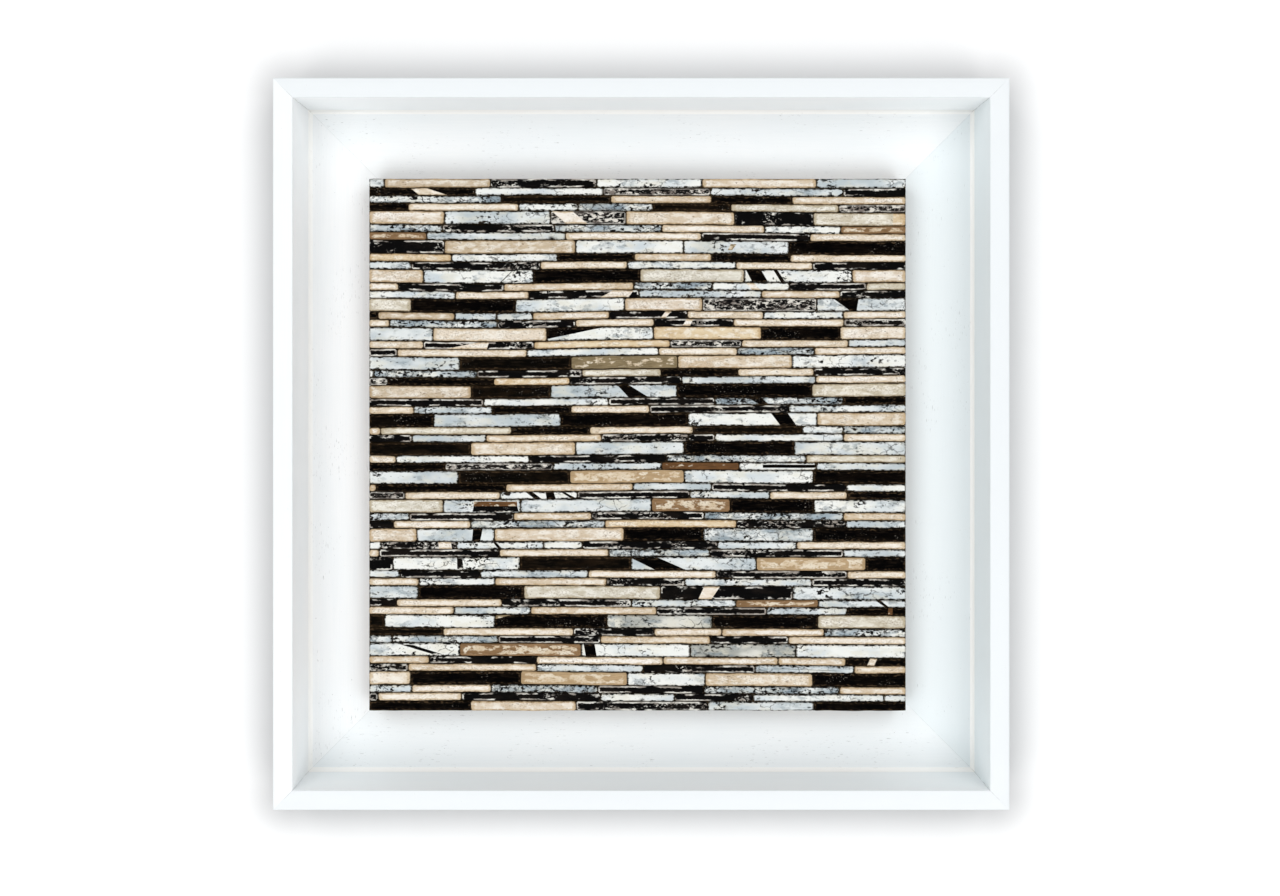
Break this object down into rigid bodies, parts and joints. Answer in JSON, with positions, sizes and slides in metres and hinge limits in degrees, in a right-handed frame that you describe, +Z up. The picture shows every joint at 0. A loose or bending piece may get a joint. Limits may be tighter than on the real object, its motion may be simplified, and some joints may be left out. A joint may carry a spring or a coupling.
{
  "type": "framed wooden strip wall panel",
  "caption": "Square wall panel: a mosaic of narrow black, cream and white wooden strips on a board, set in a deep white painted tray frame.",
  "frame": {"origin": "the point of the frame's flat back that hangs on the wall, midway between the two hangers, 40 mm below the frame's top edge", "axes": "+X right as seen from the front, +Z up, +Y out of the back into the wall; the strips look towards -Y"},
  "size_m": [0.562, 0.06, 0.5586],
  "materials": {
    "white_paint": "satin white paint over wood, slightly scuffed",
    "board_wood": "plain board",
    "tall_strip_wood": "worn white, cream and black finishes over dark wood",
    "thin_strip_wood": "worn white, cream and black finishes over dark wood",
    "hanger_steel": "zinc plated"
  },
  "bodies": {
    "root": {"rail_top": "white_paint", "rail_right": "white_paint", "rail_bottom": "white_paint", "rail_left": "white_paint", "panel_board": "board_wood", "tall_strips_01": "tall_strip_wood", "tall_strips_02": "tall_strip_wood", "tall_strips_03": "tall_strip_wood", "tall_strips_04": "tall_strip_wood", "tall_strips_05": "tall_strip_wood", "tall_strips_06": "tall_strip_wood", "tall_strips_07": "tall_strip_wood", "tall_strips_08": "tall_strip_wood", "tall_strips_09": "tall_strip_wood", "tall_strips_10": "tall_strip_wood", "tall_strips_11": "tall_strip_wood", "tall_strips_12": "tall_strip_wood", "tall_strips_13": "tall_strip_wood", "tall_strips_14": "tall_strip_wood", "tall_strips_15": "tall_strip_wood", "tall_strips_16": "tall_strip_wood", "tall_strips_17": "tall_strip_wood", "tall_strips_18": "tall_strip_wood", "tall_strips_19": "tall_strip_wood", "thin_strips_01": "thin_strip_wood", "thin_strips_02": "thin_strip_wood", "thin_strips_03": "thin_strip_wood", "thin_strips_04": "thin_strip_wood", "thin_strips_05": "thin_strip_wood", "thin_strips_06": "thin_strip_wood", "thin_strips_07": "thin_strip_wood", "thin_strips_08": "thin_strip_wood", "thin_strips_09": "thin_strip_wood", "thin_strips_10": "thin_strip_wood", "thin_strips_11": "thin_strip_wood", "thin_strips_12": "thin_strip_wood", "thin_strips_13": "thin_strip_wood", "thin_strips_14": "thin_strip_wood", "thin_strips_15": "thin_strip_wood", "thin_strips_16": "thin_strip_wood", "thin_strips_17": "thin_strip_wood", "thin_strips_18": "thin_strip_wood", "hanger_left": "hanger_steel", "hanger_right": "hanger_steel"}
  },
  "joints": []
}
